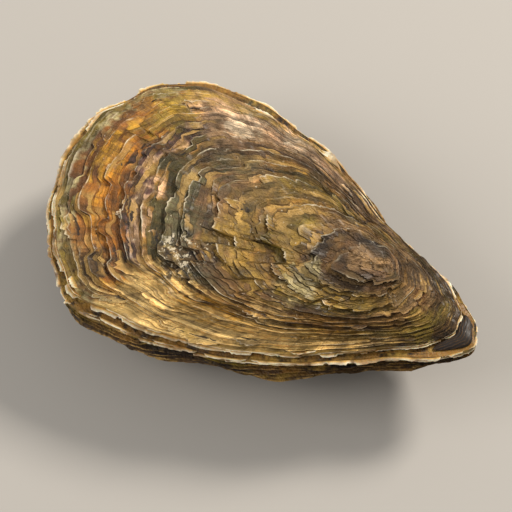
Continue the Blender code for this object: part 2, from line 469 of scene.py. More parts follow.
def closed_skin(name, rings, attributes):
    """Rings (ring, column, 3) from the top pole down: quads between them, a fan at each pole."""
    padded = {key: with_poles(values) for key, values in attributes.items()}
    return add_piece(name, with_poles(rings), skin_faces(*rings.shape[:2]), padded)


def closed_ribbon(name, rings, attributes):
    """Rings (ring, column, 3) that wrap both ways, like a thin hoop."""
    rows, columns = rings.shape[:2]
    here = np.arange(rows * columns).reshape(rows, columns)
    below = np.roll(here, -1, axis=0)
    quads = np.stack([here, below, np.roll(below, -1, axis=1), np.roll(here, -1, axis=1)], axis=-1)
    flat = {key: values.reshape(rows * columns, *values.shape[2:]) for key, values in attributes.items()}
    return add_piece(name, rings.reshape(-1, 3), quads.reshape(-1, 4).tolist(), flat)


print("two rings of 4 points take", len(skin_faces(2, 4)), "faces with their poles")

# %% [markdown]
# ## Lumps, pits and grit
# Soft lumps, pits and grit keep the surface from looking machined. They come from grain at three
# sizes, and both valves use them. The bearing runs round the shell in equal columns.

# %% Roughness of the surface
COLUMNS = 520
LUMP = {"size": 9 * MM, "height": 0.34 * MM}
PIT = {"size": 2.6 * MM, "height": 0.09 * MM}
GRIT = {"size": 1.2 * MM, "height": 0.035 * MM}

bearing = np.linspace(0, 2 * math.pi, COLUMNS, endpoint=False)


def roughened(points, seed):
    """Height of lumps, pits and grit at these points."""
    layers = enumerate((LUMP, PIT, GRIT))
    return sum(layer["height"] * grain(points, layer["size"], seed + n) for n, layer in layers)


def bearing_vector(rows, angle):
    """The bearing as a unit vector for each point of these rows, which has no jump at 360 degrees."""
    vector = np.stack([np.cos(angle), np.sin(angle), np.zeros_like(angle)], axis=-1)
    return np.repeat(vector[None], rows, axis=0)


def leaf_attributes(leaves, plain_rows):
    """Attributes of the leaves' rings, then of plain rows past the rim, which are fully grown."""
    plain = {"growth": 1.0, "leaf_share": 0.9, "leaf_step": 0.3, "leaf": leaves["leaf"].max()}
    joined = {
        name: np.concatenate([leaves[name], np.full((plain_rows, COLUMNS), value)])
        for name, value in plain.items()
    }
    return {**joined, "bearing": bearing_vector(len(leaves["leaf"]) + plain_rows, bearing)}


print(COLUMNS, "columns round the shell")

# %% [markdown]
# # The flat valve
# This is what the eye sees first. Its steps come from the same lamellae as the solid's, and fine
# leaves lie between them, closer together towards the rim. Under the rim it closes with an edge
# face and the wavy seam face, so the skin has an inside and an outside.

# %% Flat valve
LID_EDGES = (0.13, 0.22, 0.36, 0.50, 0.60, 0.66, 0.73, 0.79, 0.86, 0.92, 0.965, 1.0)
LID_STEPS = (1.3, 1.0, 0.8, 0.9, 0.8, 1.2, 0.8, 1.1, 0.7, 0.7, 0.5, 0.2)
LID_LEAVES = (4, 4, 6, 7, 6, 4, 5, 5, 6, 5, 3, 2)
LID_LEAF_STEP = 0.30
# Share of the edge face from its top down, and how far it bulges in mm.
LID_WALL = ((0.35, 0.10), (0.6, -0.05), (1.0, 0.0))
LID_SEAM = (0.9, 0.6, 0.2)
JUST_INSIDE = 0.97

rim = grown(LID_CENTRE, 1.0, bearing)


def rim_wall(share, bulge):
    """The flat valve's edge face, from its top (0) to the seam (1), pushed out by a bulge."""
    outwards = placed(rim, 0.0) - placed(grown(LID_CENTRE, JUST_INSIDE, bearing), 0.0)
    level = unit(outwards * (1, 1, 0))
    return placed(rim, SEAM_GAP / 2 + LID_EDGE * (1 - share)) + level * bulge


lid_leaves = grow_leaves(LID_EDGES, LID_LEAVES, LID_STEPS, LID_LEAF_STEP, LID_CENTRE, bearing)
smooth_lid = flat_form(lid_leaves["growth"], bearing)
lid_relief = lid_leaves["relief"] + roughened(smooth_lid, 11)


def make_flat_valve():
    """Leaf rings on the flat form, the edge face below them, then the seam face to its pole."""
    outside = smooth_lid + normals(flat_form, lid_leaves["growth"], bearing) * lid_relief[..., None]
    wall = [rim_wall(share, bulge * MM) for share, bulge in LID_WALL]
    seam = [placed(grown(LID_CENTRE, growth, bearing), SEAM_GAP / 2) for growth in LID_SEAM]
    below = np.array(wall + seam)
    attributes = leaf_attributes(lid_leaves, len(below))
    return closed_skin("upper_valve_shell", np.concatenate([outside, below]), attributes)


flat_valve = make_flat_valve()

# %% [markdown]
# ## Loose flakes
# Here and there a scrap of a leaf is left standing out over the leaves below it. Each flake
# starts at a leaf's free edge, so it has that leaf's height there, and it reaches outwards over
# a few millimetres while it thins and lifts.

# %% One flake
FLAKE_STATIONS = 15
FLAKE_SHARES = np.array([-0.35, 0.3, 0.75, 1.0])
FLAKE_THICK = 0.30 * MM
FLAKE_LIFT = 0.28 * MM
FLAKE_THINNING = 0.6
FLAKE_SINKING = 0.45
FLAKE_JAG = (0.70, 1.15)


def flake_rings(leaf, middle, width, reach, lean, seed):
    """Points, growth, share and angle of a tongue: a root line, carried out by a jagged half oval."""
    share = np.linspace(-0.97, 0.97, FLAKE_STATIONS)
    out = np.concatenate([FLAKE_SHARES[::-1], FLAKE_SHARES])[:, None]
    past = np.maximum(out, 0.0)
    angle = middle + share * width / 2 + lean * past
    ring = 3 * leaf + 2
    root = np.interp(angle, bearing, lid_leaves["growth"][ring], period=2 * math.pi)
    high = np.interp(angle, bearing, lid_relief[ring], period=2 * math.pi)
    jag = np.random.default_rng(seed).uniform(*FLAKE_JAG, FLAKE_STATIONS)
    far = reach / (SHELL_LENGTH / 2) * (1 - share**2) ** 0.6 * jag + 0.001
    under = np.repeat([0.0, 1.0], len(FLAKE_SHARES))[:, None]
    thick = FLAKE_THICK * (1 - FLAKE_THINNING * past) * (1 - share**2) ** 0.3
    height = high * (1 - FLAKE_SINKING * past) + FLAKE_LIFT * out - under * thick
    growth = root + far * out
    points = flat_form(growth, angle) + normals(flat_form, growth, angle) * height[..., None]
    share_out = np.broadcast_to(past, growth.shape)
    return points, growth, share_out, angle


print("a flake has", 2 * 2 * len(FLAKE_SHARES) * FLAKE_STATIONS, "triangles")

# %% [markdown]
# ## Flakes over the valve, shards at its rim
# Seventy flakes are strewn by a seeded draw, and share the valve's own finish. The few pale
# shards at the rim are placed one by one, where the photo shows them, and get the finish of new
# shell. Each kind is one mesh.

# %% Flakes and shards
FLAKE_COUNT = 70
FIRST_FLAKY_LEAF = 12
FLAKE_STEP = 0.6
# A flake has a leaf number of its own, and with it a tone of its own.
FLAKE_TONE = {"past": 0.37, "apart": 60}
RIM_RADIUS = 30 * MM
# Bearing in degrees, reach and width in mm, and lean in radians.
RIM_SHARDS = {
    "back_shard": (95, 3.2, 3.2, -0.14),
    "back_chip": (112, 1.3, 4.0, 0.0),
    "front_chip": (300, 1.5, 3.4, 0.03),
    "corner_chip": (238, 0.9, 2.4, 0.0),
}


def make_flakes(name, sizes, share_name):
    """Flakes as one mesh, each a closed skin. Sizes are leaf, bearing, width, reach and lean."""
    names = ("points", "growth", share_name, "leaf_step", "leaf", "bearing")
    values = {key: [] for key in names}
    faces = []
    for n, size in enumerate(sizes):
        points, growth, share, angle = (np.swapaxes(grid, 0, 1) for grid in flake_rings(*size, seed=n))
        faces += skin_faces(*growth.shape, first=n * (growth.size + 2))
        tone = size[0] + FLAKE_TONE["past"] + FLAKE_TONE["apart"] * (n % 7)
        turned = np.stack([np.cos(angle), np.sin(angle), 0 * angle], axis=-1)
        step = np.full(growth.shape, FLAKE_STEP)
        leaf = np.full(growth.shape, tone)
        for key, grid in zip(names, (points, growth, share, step, leaf, turned)):
            values[key].append(with_poles(grid))
    joined = {key: np.concatenate(parts) for key, parts in values.items()}
    return add_piece(name, joined.pop("points"), faces, joined)


last_leaf = sum(LID_LEAVES) - 2
draw = np.random.default_rng(21)
strewn = [
    (leaf, draw.uniform(0, 2 * math.pi), draw.uniform(0.07, 0.22), draw.uniform(0.7, 2.2) * MM, 0.0)
    for leaf in draw.choice(np.arange(FIRST_FLAKY_LEAF, last_leaf), FLAKE_COUNT)
]
placed_shards = [
    (last_leaf, math.radians(degrees), width * MM / RIM_RADIUS, reach * MM, lean)
    for degrees, reach, width, lean in RIM_SHARDS.values()
]
flakes = make_flakes("loose_flakes", strewn, "leaf_share")
shards = make_flakes("rim_shards", placed_shards, "rim_share")

# %% [markdown]
# # The deep valve
# The cup below is rougher. Rounded folds fan out from its umbo, and each lamella flares where
# it crosses a fold, like a frill. Its lip shows as a ledge all round the flat valve. It is
# flat underneath where it lies on the floor.

# %% Deep valve
CUP_EDGES = (0.10, 0.19, 0.28, 0.37, 0.46, 0.55, 0.64, 0.72, 0.80, 0.88, 0.95, 1.0)
CUP_STEPS = (0.8, 0.9, 1.0, 1.1, 1.2, 1.3, 1.4, 1.6, 1.5, 1.6, 1.2, 0.4)
CUP_LEAVES = (3, 3, 4, 4, 4, 5, 5, 4, 4, 4, 4, 3)
CUP_LEAF_STEP = 0.42
FOLD_COUNT = 10
FOLD_HEIGHT = 0.0014
FOLD_STRENGTH = {"mean": 0.6, "billwards": 0.4}
FRILL_SHARE = 0.5
FRONT_CALM = {"share": 0.45, "degrees": 293, "spread": 0.25}
RIM_CALM = 0.55
# Share of the lip from the flat valve outwards, and depth in mm.
LEDGE = ((0.35, 0.12), (0.6, 0.02), (0.85, 0.10), (1.0, 0.0), (1.06, 0.45))
CUP_SEAM = (0.2, 0.6, 0.9, 1.0)


def fold_wave(angle):
    """The folds round the shell, from -1 in a groove to 1 on a crest, unevenly spaced."""
    return np.cos(FOLD_COUNT * angle + 0.9 * np.sin(2 * angle + 0.7))


def make_deep_valve():
    """The seam face from its pole, the lip's ledge, its edge, then leaf rings down to the base."""
    leaves = grow_leaves(CUP_EDGES, CUP_LEAVES, CUP_STEPS, CUP_LEAF_STEP, CUP_CENTRE, bearing)
    growth = leaves["growth"]
    smooth_form = deep_form(growth, bearing)
    calmed = bump(bearing, math.radians(FRONT_CALM["degrees"]), FRONT_CALM["spread"])
    billwards = FOLD_STRENGTH["billwards"] * np.cos(bearing - math.pi)
    strength = FOLD_STRENGTH["mean"] + billwards - FRONT_CALM["share"] * calmed
    folds = FOLD_HEIGHT * strength * smooth(0.15, 0.70, growth) * fold_wave(bearing)
    crest = strength * np.maximum(fold_wave(bearing), 0.0) * smooth(0.25, 0.6, growth)
    frill = 1 + FRILL_SHARE * crest * smooth(0.5, 1.0, leaves["leaf_share"])
    calm = 1 - RIM_CALM * smooth(0.75, 1.0, growth)
    relief = calm * (leaves["relief"] * frill + folds) + roughened(smooth_form, 31)
    outside = smooth_form - normals(deep_form, growth, bearing) * relief[..., None]
    outside[..., 2] = np.maximum(outside[..., 2], 0.0)
    seam = [placed(grown(LID_CENTRE, stop, bearing), -SEAM_GAP / 2) for stop in CUP_SEAM]
    ledge = [
        placed(rim, -SEAM_GAP / 2 - drop * MM, LIP_REACH * share, BEAK_REACH * share)
        for share, drop in LEDGE
    ]
    above = np.array(seam + ledge)
    rings = np.concatenate([above, outside[::-1]])
    plain = leaf_attributes(leaves, len(above))
    attributes = {name: values[::-1] for name, values in plain.items()}
    attributes["lip"] = np.concatenate([np.ones((len(above), COLUMNS)), np.zeros_like(growth)])
    attributes["fold"] = np.repeat(fold_wave(bearing)[None], len(rings), axis=0)
    return closed_skin("lower_valve_shell", rings, attributes)


deep_valve = make_deep_valve()

# %% [markdown]
# # New growth at the rims
# The last leaves that the oyster laid down are as thin as paper, pale, and easily broken, so
# they make the ragged cream line round the shell, widest at the bill, where it grows most.
# Each is a thin ribbon along the rim: a profile of a few points, carried round the outline,
# with its own reach at every bearing.

# %% Rim leaves
RIM_COLUMNS = 1040
RIM_LEAVES = {
    "upper_rim_leaf_outer": {"lip": 0.0, "height": 0.45, "reach": 0.66, "thick": 0.32, "key": 3},
    "upper_rim_leaf_inner": {"lip": 0.0, "height": 0.95, "reach": 0.25, "thick": 0.26, "key": 8},
    "lower_rim_leaf_outer": {"lip": 1.0, "height": -0.45, "reach": 0.66, "thick": 0.36, "key": 14},
    "lower_rim_leaf_inner": {"lip": 1.0, "height": -1.15, "reach": 0.50, "thick": 0.32, "key": 19},
}
RIM_NOTCHES = {"count": 34, "width": 0.036, "depth": 1.3}
RIM_CHIPS = {"count": 90, "height": 0.40}
RIM_FRAY = {"count": 420, "height": 0.22}
RIM_WANDER = 0.55
RIM_LIMIT = 2.2
RIM_LIFT = 0.22
RIM_CURL = {"count": 120, "height": 0.14}
RIM_RISE = 0.18
RIM_BILL_SHARE = 0.38
RIM_BILL_DEGREES = 215
RIM_PROFILE = ((-1.2, 0.5), (0.0, 0.5), (0.8, 0.3), (1.0, 0.0), (0.8, -0.3), (0.0, -0.5), (-1.2, -0.5))


def make_rim_leaf(name, lip, height, reach, thick, key):
    """A hoop whose profile runs from inside the shell out to a thin, frayed and bitten edge."""
    angle = np.linspace(0, 2 * math.pi, RIM_COLUMNS, endpoint=False)
    disc = grown(LID_CENTRE, 1.0, angle)
    risen = height + RIM_RISE * ripple(angle, key + 6)
    foot = placed(disc, risen * MM, LIP_REACH * lip, BEAK_REACH * lip)
    tangent = np.roll(foot, -1, axis=0) - np.roll(foot, 1, axis=0)
    outwards = unit(np.stack([tangent[:, 1], -tangent[:, 0], np.zeros_like(angle)], axis=-1))
    chips = broken(angle, key, **RIM_CHIPS) + broken(angle, key + 1, **RIM_FRAY)
    gone = notches(angle, key + 2, **RIM_NOTCHES)
    billwards = 1 + RIM_BILL_SHARE * np.cos(angle - math.radians(RIM_BILL_DEGREES))
    uneven = 1 + chips + RIM_WANDER * ripple(angle, key + 1) - gone
    far = reach * billwards * np.clip(uneven, 0.0, RIM_LIMIT)
    lift = RIM_LIFT * ripple(angle, key + 4) + broken(angle, key + 5, **RIM_CURL)
    rings = []
    for out, up in RIM_PROFILE:
        across = out * far if out > 0 else np.full_like(far, out)
        rise = up * thick + lift * max(out, 0.0)
        moved = outwards * across[:, None] + np.array([0, 0, 1]) * rise[:, None]
        rings.append(foot + moved * MM)
    share = np.maximum([out for out, up in RIM_PROFILE], 0.0)
    rim_share = np.repeat(share[:, None], RIM_COLUMNS, axis=1)
    return closed_ribbon(name, np.array(rings), {"rim_share": rim_share})


rim_leaves = [make_rim_leaf(name, **sizes) for name, sizes in RIM_LEAVES.items()]

# %% [markdown]
# # The hinge ligament
# A dark, horny pad joins the valves at the hinge, and shows on the deep valve's beak. It is laid
# down in thin lines, like the shell. A loop round a flat oval, carried across the beak while it
# swells and closes again, gives it with its lines in one go.

# %% Ligament
LIGAMENT_HALF_ANGLE = 0.30
LIGAMENT_THICK = 0.85 * MM
LIGAMENT_LINE = 0.05 * MM
LIGAMENT_LINES = 7
LIGAMENT_MIDDLE = 0.42
LIGAMENT_REACH = 0.44


def make_ligament(stations=36, loop=64):
    """An oval loop at each bearing across the beak, its size the root of 1 - share^2, lined along it."""
    share = np.sin(np.linspace(-0.49, 0.49, stations) * math.pi)[:, None]
    turn = np.linspace(0, 2 * math.pi, loop, endpoint=False)[None]
    swell = np.sqrt(1 - share**2)
    out = LIGAMENT_MIDDLE + LIGAMENT_REACH * swell * np.cos(turn)
    uneven = LIGAMENT_LINES * out + 0.6 * np.sin(5 * share + 2.0)
    lines = LIGAMENT_LINE * np.cos(2 * math.pi * uneven) * np.maximum(np.sin(turn), 0.0)
    height = swell * (LIGAMENT_THICK * np.sin(turn) + lines)
    angle = np.broadcast_to(LIGAMENT_HALF_ANGLE * share, height.shape)
    rings = placed(grown(LID_CENTRE, 1.0, angle), height, LIP_REACH * out, BEAK_REACH * out)
    return closed_skin("hinge_ligament", rings, {"ligament_share": np.broadcast_to(out, height.shape)})


ligament = make_ligament()

# %% [markdown]
# # Colours
# The colours are written as the eye sees them on the shell, in sRGB hex, and turned to linear
# light by one function. Shell has no single colour, so the palette holds its usual tones: pale
# new shell, ochre and gold, algae, mud, and the purple black of the deep valve.

# %% Palette
PALETTE = {
    "white_edge": "f6e8c8",
    "straw": "fad284",
    "cream": "e8ba68",
    "pink_cream": "d2ab85",
    "bone": "ba9540",
    "gold": "c8942a",
    "yellow_green": "a38a2e",
    "ochre": "bb741a",
    "rust": "855420",
    "tan": "946b29",
    "olive": "78651f",
    "dark_olive": "4a4019",
    "pale_green": "b8a978",
    "grey_green": "736c4a",
    "rose_tan": "9c7a4e",
    "rose_brown": "7d5b38",
    "mauve": "6d4d45",
    "brown": "60421b",
    "dark_brown": "382711",
    "purple_black": "241817",
    # Near black: painted shade in the crevices, dark specks, and the wet ligament.
    "crevice_shade_and_near_black": "1b1008",
}


def linear(hex_colour, alpha=1.0):
    """sRGB hex to linear light: v / 12.92 in the dark, ((v + 0.055) / 1.055) ^ 2.4 above."""
    values = np.array([int(hex_colour[n : n + 2], 16) for n in (0, 2, 4)]) / 255
    light = np.where(values <= 0.04045, values / 12.92, ((values + 0.055) / 1.055) ** 2.4)
    return (*light.tolist(), alpha)


def tint(name):
    """A colour of the palette in linear light."""
    return linear(PALETTE[name])


print(len(PALETTE), "colours in the palette")

# %% [markdown]
# ## Wiring nodes
# A material is a tree of nodes. One small function adds a node with its settings, and links or
# sets its inputs. The rest of the finishes is patterns made with it.

# %% Node helper
def add_node(tree, kind, inputs=None, out=0, stops=None, **settings):
    """Adds a shader node and gives an output. An input is a value to set or a socket to link, and
    a stop of a colour ramp is a place and a palette name."""
    node = tree.nodes.new("ShaderNode" + kind)
    for key, value in settings.items():
        setattr(node, key, value)
    for key, value in (inputs or {}).items():
        if isinstance(value, bpy.types.NodeSocket):
            tree.links.new(value, node.inputs[key])
        else:
            node.inputs[key].default_value = value
    for _ in range(len(stops or ()) - 2):
        node.color_ramp.elements.new(1.0)
    for n, (place, name) in enumerate(stops or ()):
        node.color_ramp.elements[n].position = place
        node.color_ramp.elements[n].color = tint(name)
    return node.outputs[out]


def new_material(name, values):
    """A node material, its tree, and its shader with these inputs set for the whole surface."""
    material = bpy.data.materials.new(name)
    material.use_nodes = True
    shader = material.node_tree.nodes["Principled BSDF"]
    for key, value in values.items():
        shader.inputs[key].default_value = value
    return material, material.node_tree, shader


print("one helper for nodes, one for a material")

# %% [markdown]
# ## Where a point lies on the shell
# A stain lies anywhere in space, but a growth line follows the shell's own growth. So the
# patterns read both: Object coordinates in metres, and the attributes stored with the points.

# %% Places on the shell
def places(tree, *names):
    """A point's place in space and these attributes of its skin, as sockets to read."""
    at = {name: add_node(tree, "Attribute", out="Fac", attribute_name=name) for name in names}
    at["space"] = add_node(tree, "TexCoord", out="Object")
    return at


def shell_places(tree, *more):
    """The same on a valve, with the number of the whole leaf, and the bearing scaled by the growth."""
    at = places(tree, "growth", "leaf", "leaf_share", "leaf_step", *more)
    at["bearing"] = add_node(tree, "Attribute", out="Vector", attribute_name="bearing")
    below = add_node(tree, "Math", {0: at["leaf"], 1: 0.001}, operation="SUBTRACT")
    at["leaf_number"] = add_node(tree, "Math", {0: below}, operation="FLOOR")
    scaled = {0: at["bearing"], 3: at["growth"]}
    at["ring"] = add_node(tree, "VectorMath", scaled, operation="SCALE")
    return at


print("a point knows its growth, its leaf, its bearing and its place")

# %% [markdown]
# ## Patterns that shell has
# Three patterns make all of the shell's finishes. Patches are stains and growths that lie
# across the leaves. Stripes run along the leaves, whole leaf by whole leaf or finer than a
# leaf, and rays run out from the umbo. Each is noise, turned by a Map Range into how much of
# something shows, from least to most. The most may be another pattern, so one masks the next.

# %% Patches, stripes and rays
SOFT = {"interpolation_type": "SMOOTHSTEP"}


def patches(tree, at, size, key, low, high, least=0.0, most=1.0):
    """Cloudy patches about this many mm wide: least where the noise is below low, most above high."""
    inputs = {"Vector": at["space"], "W": key, "Scale": 1 / (size * MM), "Detail": 3.5, "Roughness": 0.62}
    noise = add_node(tree, "TexNoise", inputs, noise_dimensions="4D")
    return add_node(tree, "MapRange", {0: noise, 1: low, 2: high, 3: least, 4: most}, **SOFT)


def stretched(tree, place, around, height, detail):
    """Noise at a place on the ground x around, and at this height."""
    lifted = add_node(tree, "CombineXYZ", {"Z": height})
    spread = {0: place, 1: (around, around, 0), 2: lifted}
    where = add_node(tree, "VectorMath", spread, operation="MULTIPLY_ADD")
    return add_node(tree, "TexNoise", {"Vector": where, "Scale": 1.0, "Detail": detail})


def stripes(tree, at, counter, across, around, low, high, least=0.0, most=1.0):
    """Stripes along the leaves: noise at ring x around, and at height counter x across."""
    height = add_node(tree, "Math", {0: at[counter], 1: across}, operation="MULTIPLY")
    noise = stretched(tree, at["ring"], around, height, 2.5)
    return add_node(tree, "MapRange", {0: noise, 1: low, 2: high, 3: least, 4: most}, **SOFT)


def rays(tree, at, around, key, low, high, most):
    """Streaks out from the umbo: noise at bearing x around, which drifts slowly with the growth."""
    drift = add_node(tree, "Math", {0: at["growth"], 1: 5.0, 2: key}, operation="MULTIPLY_ADD")
    noise = stretched(tree, at["bearing"], around, drift, 2.0)
    grown_in = add_node(tree, "MapRange", {0: at["growth"], 1: 0.15, 2: 0.40, 4: most}, **SOFT)
    return add_node(tree, "MapRange", {0: noise, 1: low, 2: high, 4: grown_in}, **SOFT)


print("a patch of 1 mm has noise at scale", 1 / MM)

# %% [markdown]
# ## Coats and relief
# Dirt, wear, painted shade and painted highlights lie over the colour beneath them, one after
# another, like coats of paint. Grit and lines finer than the mesh are a bump, since points for them
# would be a hundred times more.

# %% Coats, fine relief and dressing
def coats(tree, at, base, layers, blend="MIX"):
    """Lays layers over a base colour: how much of each shows, or the settings of its patches, and
    its colour, or its name in the palette."""
    for share, over in layers:
        shown = patches(tree, at, *share) if isinstance(share, tuple) else share
        colour = tint(over) if isinstance(over, str) else over
        inputs = {0: shown, 6: base, 7: colour}
        base = add_node(tree, "Mix", inputs, out=2, data_type="RGBA", blend_type=blend)
    return base


def fine_relief(tree, at, grit, lines):
    """Height of grit, by its size and key, plus lines in the leaves, by their across and around."""
    grains = patches(tree, at, *grit, 0.2, 0.8)
    ridges = stripes(tree, at, "leaf", *lines, 0.25, 0.75)
    return add_node(tree, "Math", {0: grains, 1: ridges}, operation="ADD")


def link_surface(tree, shader, sockets, height, depth, strength=0.9):
    """Links these sockets, and a bump of this height and depth in mm, to the shader."""
    relief = {"Height": height, "Strength": strength, "Distance": depth * MM}
    for name, socket in {**sockets, "Normal": add_node(tree, "Bump", relief)}.items():
        tree.links.new(socket, shader.inputs[name])


def dress(finish, *pieces):
    """Gives these pieces a finish."""
    for piece in pieces:
        piece.data.materials.append(finish)
    print(finish.name, "has", len(finish.node_tree.nodes), "nodes, and pieces:", len(pieces))


print("coats, relief and dressing are ready")

# %% [markdown]
# # Flaky shell in growth bands
# The flat valve is layered calcite, stained as it grew. From the umbo outwards it runs through
# rings: brown knob, dark crescent, pale tan, olive, grey green, pink, then ochre at the bill,
# gold at the front and cream at the back. The dark crescent is partly a stain and partly painted
# shadow of the step below the knob. So its colour is a ramp over the growth for each side, and
# the sides are blended by the bearing. Noise unsettles both, so no ring is clean.

# %% Band colours by side
# The dark stops from growth 0.12 to 0.20 on the bill, front and back make the crescent round the knob:
# partly a stain, partly painted shadow of the knob's step.
BANDS = {
    "hinge": (
        (0.00, "rose_tan"), (0.14, "rose_brown"), (0.22, "tan"), (0.36, "rose_tan"),
        (0.56, "rose_tan"), (0.66, "brown"), (0.78, "olive"), (0.88, "brown"),
        (1.00, "dark_brown"),
    ),
    "bill": (
        (0.00, "rose_tan"), (0.105, "rose_tan"), (0.12, "dark_brown"), (0.14, "dark_brown"),
        (0.155, "brown"), (0.17, "dark_brown"), (0.195, "dark_brown"), (0.22, "tan"),
        (0.25, "bone"), (0.31, "olive"), (0.36, "tan"), (0.46, "bone"), (0.53, "rose_brown"),
        (0.60, "grey_green"), (0.66, "dark_olive"), (0.70, "dark_olive"), (0.72, "tan"),
        (0.745, "pink_cream"), (0.76, "mauve"), (0.785, "dark_brown"), (0.81, "rust"),
        (0.84, "ochre"), (0.89, "gold"), (0.92, "rust"), (0.955, "rust"), (0.98, "pale_green"),
        (1.00, "olive"),
    ),
    "front": (
        (0.00, "rose_brown"), (0.12, "dark_brown"), (0.19, "dark_brown"), (0.27, "bone"),
        (0.38, "olive"), (0.50, "brown"), (0.60, "tan"), (0.69, "brown"), (0.73, "gold"),
        (0.77, "cream"), (0.81, "straw"), (0.84, "gold"), (0.87, "straw"), (0.94, "straw"),
        (1.00, "bone"),
    ),
    "back": (
        (0.00, "rose_tan"), (0.12, "dark_brown"), (0.18, "dark_brown"), (0.21, "brown"),
        (0.27, "rose_tan"), (0.34, "tan"), (0.48, "olive"), (0.58, "tan"), (0.68, "rose_brown"),
        (0.75, "rose_tan"), (0.82, "pink_cream"), (0.90, "pink_cream"), (0.95, "bone"),
        (1.00, "rose_tan"),
    ),
}
SIDES = {"back": (116, 42, 16), "front": (266, 50, 20), "bill": (190, 44, 16)}


def banded(tree, at):
    """Each side's ramp over the growth, which noise unsettles, least near the knob."""
    nudge = patches(tree, at, 8, 0.0, 0.25, 0.75, -0.045, 0.045)
    jitter = stripes(tree, at, "leaf_number", 5.3, 5.0, 0.25, 0.75, -0.04, 0.04)
    moved = add_node(tree, "Math", {0: nudge, 1: jitter}, operation="ADD")
    age = {0: at["growth"], 1: 0.10, 2: 0.40, 3: 0.30, 4: 1.0}
    loose = add_node(tree, "MapRange", age, **SOFT)
    shifted = {0: moved, 1: loose, 2: at["growth"]}
    growth = add_node(tree, "Math", shifted, operation="MULTIPLY_ADD")
    sway = patches(tree, at, 12, 3.0, 0.25, 0.75, -0.30, 0.30)
    ramps = {
        side: add_node(tree, "ValToRGB", {"Fac": growth}, stops=stops)
        for side, stops in BANDS.items()
    }
    base = ramps["hinge"]
    for side, (degrees, reach, blur) in SIDES.items():
        towards = (math.cos(math.radians(degrees)), math.sin(math.radians(degrees)), 0)
        facing = {0: at["bearing"], 1: towards}
        cosine = add_node(tree, "VectorMath", facing, out="Value", operation="DOT_PRODUCT")
        swayed = add_node(tree, "Math", {0: cosine, 1: sway}, operation="ADD")
        low, high = math.cos(math.radians(reach + blur)), math.cos(math.radians(reach - blur))
        faced = add_node(tree, "MapRange", {0: swayed, 1: low, 2: high}, **SOFT)
        base = coats(tree, at, base, [(faced, ramps[side])])
    return base


print("sides of the flat valve:", ", ".join(BANDS))

# %% [markdown]
# ## Single marks
# Some marks are spots and not rings: a pale patch below the knob, a dark corner at the bill, a
# golden shoulder at its back. A few are painted light: the two gleams and the arc beside the knob
# are painted highlights, and the two shades are painted shadow. Each has a bearing, a growth, a
# radius in mm and a strength, and the smooth form says where that is in space. Noise frays its
# outline.

# %% Spots on the flat valve
SPECKLED = {"place": (226, 0.60), "radius": 5.5}
SPOTS = {
    "pale_patch": (250, 0.27, 4.4, "pale_green", 0.80),
    # Painted highlight on the lit side of the valley beside the knob.
    "painted_arc_highlight": (176, 0.235, 2.6, "bone", 0.35),
    "olive_patch": (194, 0.37, 4.6, "olive", 0.55),
    "olive_fleck": (165, 0.44, 4.0, "dark_olive", 0.70),
    "golden_shoulder": (153, 0.87, 7.5, "yellow_green", 0.70),
    "orange_shoulder": (158, 0.93, 4.0, "ochre", 0.60),
    "grey_hollow": (203, 0.60, 6.0, "grey_green", 0.65),
    "pink_middle": (185, 0.50, 3.5, "rose_brown", 0.45),
    # Painted shade on the back rim.
    "back_shade": (72, 0.95, 6.0, "brown", 0.75),
    # Painted shadow on the back rim near the hinge.
    "back_hinge_shade": (38, 0.90, 7.5, "dark_brown", 0.65),
    "pink_shoulder": (106, 0.90, 5.5, "pink_cream", 0.60),
    "back_blush": (104, 0.90, 4.0, "white_edge", 0.35),
    "pink_hollow": (140, 0.74, 5.0, "pink_cream", 0.45),
    "orange_bill": (198, 0.85, 5.0, "ochre", 0.55),
    "orange_corner": (221, 0.88, 6.0, "ochre", 0.60),
    # Painted highlight on the back shoulder.
    "back_gleam": (128, 0.82, 4.5, "white_edge", 0.45),
    # Painted highlight along the front rim.
    "front_gleam": (256, 0.90, 9.0, "straw", 0.85),
    "front_gold": (286, 0.84, 6.0, "straw", 0.45),
    "umbo_moss": (345, 0.75, 3.2, "yellow_green", 0.60),
    "umbo_blush": (5, 0.45, 1.8, "rust", 0.60),
    "dark_corner": (233, 0.91, 4.2, "dark_brown", 0.95),
}


def close_to(tree, at, place, radius, most):
    """How close a point is to a bearing and growth on the flat valve: most, then 0 outside the radius."""
    fray = patches(tree, at, 2.6, 6.0, 0.3, 0.7, -1.0, 1.0)
    degrees, growth = place
    centre = flat_form(np.array(growth), np.array(math.radians(degrees))).tolist()
    facing = {0: at["space"], 1: centre}
    far = add_node(tree, "VectorMath", facing, out="Value", operation="DISTANCE")
    frayed = {0: fray, 1: 0.5 * radius * MM, 2: far}
    edge = add_node(tree, "Math", frayed, operation="MULTIPLY_ADD")
    fading = {0: edge, 1: 0.5 * radius * MM, 2: 1.2 * radius * MM, 3: most, 4: 0.0}
    return add_node(tree, "MapRange", fading, **SOFT)


def spotted(tree, at, base):
    """Lays each spot over the base, one after another."""
    layers = [
        (close_to(tree, at, (degrees, growth), radius, strength), name)
        for degrees, growth, radius, name, strength in SPOTS.values()
    ]
    return coats(tree, at, base, layers)


print(len(SPOTS), "spots")

# %% [markdown]
# ## Leaves, lines, wear and painted shade
# Every leaf has its own tone, since each was laid down in another week, and finer lines run
# within it. The free edges are worn to cream and chipped, and the corners behind them are
# darkened with painted shade, more below a taller step. Radial streaks, algae and specks cross
# the leaves.

